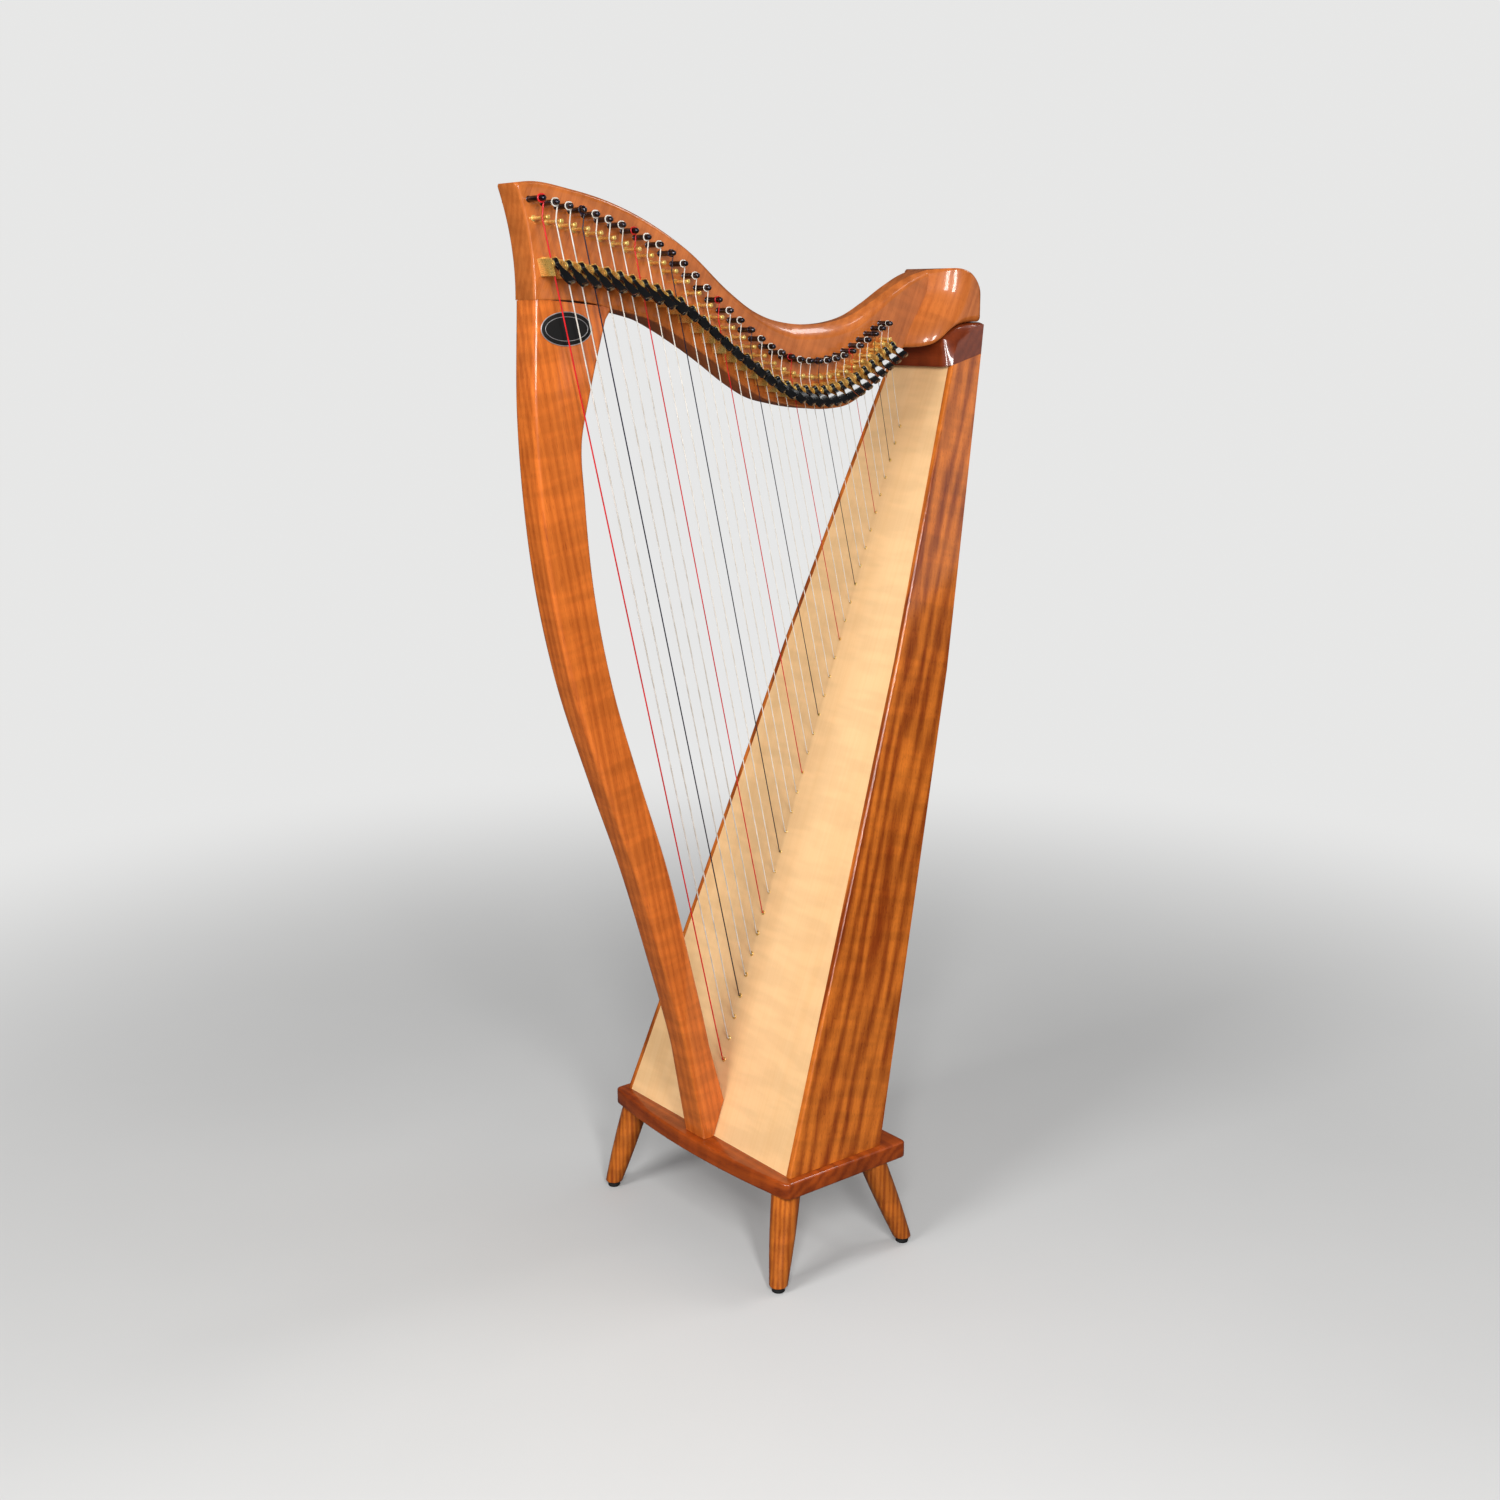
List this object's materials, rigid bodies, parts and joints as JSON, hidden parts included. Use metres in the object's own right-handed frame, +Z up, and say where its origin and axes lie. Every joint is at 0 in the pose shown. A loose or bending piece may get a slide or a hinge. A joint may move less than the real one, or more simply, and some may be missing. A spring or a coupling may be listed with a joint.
{
  "type": "lever harp",
  "caption": "Floor-standing lever harp: curved column and neck, tapered soundbox on a stand with splayed legs, strings, and flip levers that each raise a string by a semitone.",
  "frame": {"origin": "middle of the overall footprint, on the floor under the rubber feet", "axes": "+Z up; +X from the column towards the player and the soundbox; strings, pins and levers on the -Y side of the neck, the player's left"},
  "size_m": [0.7106, 0.4162, 1.4007],
  "materials": {
    "sapele": "gloss clear lacquer",
    "birch": "satin clear lacquer",
    "lever_plastic": "gloss",
    "foot_rubber": "matt",
    "zinc_steel": "zinc plated",
    "plaque_black": "gloss",
    "string_nylon": "satin",
    "string_red": "satin",
    "string_dark": "satin",
    "string_wound": "fine winding",
    "blued_steel": "blued",
    "brass": "polished"
  },
  "bodies": {
    "frame": {"badge": "plaque_black", "base_plate": "sapele", "column": "sapele", "foot_back_left": "foot_rubber", "foot_back_right": "foot_rubber", "foot_front_left": "foot_rubber", "foot_front_right": "foot_rubber", "leg_back_left": "sapele", "leg_back_right": "sapele", "leg_front_left": "sapele", "leg_front_right": "sapele", "neck": "sapele", "shoulder_block": "sapele", "soundboard": "birch", "soundboard_brace_1": "birch", "soundboard_brace_2": "birch", "soundboard_brace_3": "birch", "soundbox_back": "sapele", "soundbox_left_side": "sapele", "soundbox_right_side": "sapele", "strings": "string_nylon", "stud_back_left": "zinc_steel", "stud_back_right": "zinc_steel", "stud_front_left": "zinc_steel", "stud_front_right": "zinc_steel"},
    "lever_01": {"lever_01": "lever_plastic"},
    "lever_02": {"lever_02": "lever_plastic"},
    "lever_03": {"lever_03": "lever_plastic"},
    "lever_04": {"lever_04": "lever_plastic"},
    "lever_05": {"lever_05": "lever_plastic"},
    "lever_06": {"lever_06": "lever_plastic"},
    "lever_07": {"lever_07": "lever_plastic"},
    "lever_08": {"lever_08": "lever_plastic"},
    "lever_09": {"lever_09": "lever_plastic"},
    "lever_10": {"lever_10": "lever_plastic"},
    "lever_11": {"lever_11": "lever_plastic"},
    "lever_12": {"lever_12": "lever_plastic"},
    "lever_13": {"lever_13": "lever_plastic"},
    "lever_14": {"lever_14": "lever_plastic"},
    "lever_15": {"lever_15": "lever_plastic"},
    "lever_16": {"lever_16": "lever_plastic"},
    "lever_17": {"lever_17": "lever_plastic"},
    "lever_18": {"lever_18": "lever_plastic"},
    "lever_19": {"lever_19": "lever_plastic"},
    "lever_20": {"lever_20": "lever_plastic"},
    "lever_21": {"lever_21": "lever_plastic"},
    "lever_22": {"lever_22": "lever_plastic"},
    "lever_23": {"lever_23": "lever_plastic"},
    "lever_24": {"lever_24": "lever_plastic"},
    "lever_25": {"lever_25": "lever_plastic"},
    "lever_26": {"lever_26": "lever_plastic"},
    "lever_27": {"lever_27": "lever_plastic"},
    "lever_28": {"lever_28": "lever_plastic"},
    "lever_29": {"lever_29": "lever_plastic"},
    "lever_30": {"lever_30": "lever_plastic"},
    "lever_31": {"lever_31": "lever_plastic"},
    "lever_32": {"lever_32": "lever_plastic"},
    "lever_33": {"lever_33": "lever_plastic"},
    "lever_34": {"lever_34": "lever_plastic"}
  },
  "joints": [
    {"name": "lever_01_flip", "type": "hinge", "parent": "frame", "child": "lever_01", "pos_m": [-0.32444, -0.05183, 1.31103], "axis": [-0.9688, 0, -0.2479], "range_deg": [0, 90]},
    {"name": "lever_02_flip", "type": "hinge", "parent": "frame", "child": "lever_02", "pos_m": [-0.30651, -0.05148, 1.30852], "axis": [-0.9689, 0, -0.2476], "range_deg": [0, 90]},
    {"name": "lever_03_flip", "type": "hinge", "parent": "frame", "child": "lever_03", "pos_m": [-0.28857, -0.05116, 1.30623], "axis": [-0.9689, 0, -0.2476], "range_deg": [0, 90]},
    {"name": "lever_04_flip", "type": "hinge", "parent": "frame", "child": "lever_04", "pos_m": [-0.27064, -0.05084, 1.30381], "axis": [-0.9689, 0, -0.2475], "range_deg": [0, 90]},
    {"name": "lever_05_flip", "type": "hinge", "parent": "frame", "child": "lever_05", "pos_m": [-0.2527, -0.05053, 1.30086], "axis": [-0.9688, 0, -0.248], "range_deg": [0, 90]},
    {"name": "lever_06_flip", "type": "hinge", "parent": "frame", "child": "lever_06", "pos_m": [-0.23479, -0.05022, 1.29703], "axis": [-0.9686, 0, -0.2487], "range_deg": [0, 90]},
    {"name": "lever_07_flip", "type": "hinge", "parent": "frame", "child": "lever_07", "pos_m": [-0.21692, -0.04991, 1.29268], "axis": [-0.9684, 0, -0.2495], "range_deg": [0, 90]},
    {"name": "lever_08_flip", "type": "hinge", "parent": "frame", "child": "lever_08", "pos_m": [-0.19911, -0.0496, 1.28795], "axis": [-0.9681, 0, -0.2505], "range_deg": [0, 90]},
    {"name": "lever_09_flip", "type": "hinge", "parent": "frame", "child": "lever_09", "pos_m": [-0.18136, -0.0493, 1.28248], "axis": [-0.9678, 0, -0.2516], "range_deg": [0, 90]},
    {"name": "lever_10_flip", "type": "hinge", "parent": "frame", "child": "lever_10", "pos_m": [-0.16368, -0.04899, 1.27588], "axis": [-0.9674, 0, -0.2531], "range_deg": [0, 90]},
    {"name": "lever_11_flip", "type": "hinge", "parent": "frame", "child": "lever_11", "pos_m": [-0.14608, -0.04868, 1.2678], "axis": [-0.9669, 0, -0.2552], "range_deg": [0, 90]},
    {"name": "lever_12_flip", "type": "hinge", "parent": "frame", "child": "lever_12", "pos_m": [-0.12857, -0.04838, 1.25754], "axis": [-0.9661, 0, -0.2582], "range_deg": [0, 90]},
    {"name": "lever_13_flip", "type": "hinge", "parent": "frame", "child": "lever_13", "pos_m": [-0.11117, -0.04807, 1.24553], "axis": [-0.965, 0, -0.2621], "range_deg": [0, 90]},
    {"name": "lever_14_flip", "type": "hinge", "parent": "frame", "child": "lever_14", "pos_m": [-0.09388, -0.04776, 1.2328], "axis": [-0.9638, 0, -0.2668], "range_deg": [0, 90]},
    {"name": "lever_15_flip", "type": "hinge", "parent": "frame", "child": "lever_15", "pos_m": [-0.07673, -0.04745, 1.22038], "axis": [-0.9623, 0, -0.272], "range_deg": [0, 90]},
    {"name": "lever_16_flip", "type": "hinge", "parent": "frame", "child": "lever_16", "pos_m": [-0.05971, -0.04714, 1.20922], "axis": [-0.9608, 0, -0.2773], "range_deg": [0, 90]},
    {"name": "lever_17_flip", "type": "hinge", "parent": "frame", "child": "lever_17", "pos_m": [-0.04285, -0.04683, 1.1989], "axis": [-0.9591, 0, -0.283], "range_deg": [0, 90]},
    {"name": "lever_18_flip", "type": "hinge", "parent": "frame", "child": "lever_18", "pos_m": [-0.02616, -0.04652, 1.18864], "axis": [-0.9572, 0, -0.2895], "range_deg": [0, 90]},
    {"name": "lever_19_flip", "type": "hinge", "parent": "frame", "child": "lever_19", "pos_m": [-0.00965, -0.04621, 1.1791], "axis": [-0.955, 0, -0.2967], "range_deg": [0, 90]},
    {"name": "lever_20_flip", "type": "hinge", "parent": "frame", "child": "lever_20", "pos_m": [0.00666, -0.04589, 1.1709], "axis": [-0.9525, 0, -0.3044], "range_deg": [0, 90]},
    {"name": "lever_21_flip", "type": "hinge", "parent": "frame", "child": "lever_21", "pos_m": [0.02277, -0.04558, 1.1646], "axis": [-0.9501, 0, -0.3121], "range_deg": [0, 90]},
    {"name": "lever_22_flip", "type": "hinge", "parent": "frame", "child": "lever_22", "pos_m": [0.03866, -0.04526, 1.16051], "axis": [-0.9476, 0, -0.3195], "range_deg": [0, 90]},
    {"name": "lever_23_flip", "type": "hinge", "parent": "frame", "child": "lever_23", "pos_m": [0.0543, -0.04495, 1.158], "axis": [-0.945, 0, -0.327], "range_deg": [0, 90]},
    {"name": "lever_24_flip", "type": "hinge", "parent": "frame", "child": "lever_24", "pos_m": [0.0697, -0.04463, 1.15694], "axis": [-0.9423, 0, -0.3347], "range_deg": [0, 90]},
    {"name": "lever_25_flip", "type": "hinge", "parent": "frame", "child": "lever_25", "pos_m": [0.08483, -0.04431, 1.15728], "axis": [-0.9395, 0, -0.3426], "range_deg": [0, 90]},
    {"name": "lever_26_flip", "type": "hinge", "parent": "frame", "child": "lever_26", "pos_m": [0.09968, -0.04399, 1.15895], "axis": [-0.9365, 0, -0.3507], "range_deg": [0, 90]},
    {"name": "lever_27_flip", "type": "hinge", "parent": "frame", "child": "lever_27", "pos_m": [0.11424, -0.04366, 1.16189], "axis": [-0.9333, 0, -0.3591], "range_deg": [0, 90]},
    {"name": "lever_28_flip", "type": "hinge", "parent": "frame", "child": "lever_28", "pos_m": [0.12849, -0.04334, 1.16631], "axis": [-0.93, 0, -0.3675], "range_deg": [0, 90]},
    {"name": "lever_29_flip", "type": "hinge", "parent": "frame", "child": "lever_29", "pos_m": [0.14242, -0.04301, 1.17254], "axis": [-0.9269, 0, -0.3752], "range_deg": [0, 90]},
    {"name": "lever_30_flip", "type": "hinge", "parent": "frame", "child": "lever_30", "pos_m": [0.156, -0.04269, 1.17995], "axis": [-0.9237, 0, -0.383], "range_deg": [0, 90]},
    {"name": "lever_31_flip", "type": "hinge", "parent": "frame", "child": "lever_31", "pos_m": [0.16924, -0.04236, 1.18795], "axis": [-0.9199, 0, -0.392], "range_deg": [0, 90]},
    {"name": "lever_32_flip", "type": "hinge", "parent": "frame", "child": "lever_32", "pos_m": [0.18212, -0.04203, 1.19602], "axis": [-0.9148, 0, -0.4038], "range_deg": [0, 90]},
    {"name": "lever_33_flip", "type": "hinge", "parent": "frame", "child": "lever_33", "pos_m": [0.19463, -0.0417, 1.20374], "axis": [-0.907, 0, -0.4211], "range_deg": [0, 90]},
    {"name": "lever_34_flip", "type": "hinge", "parent": "frame", "child": "lever_34", "pos_m": [0.2068, -0.04136, 1.21073], "axis": [-0.8938, 0, -0.4485], "range_deg": [0, 90]}
  ]
}
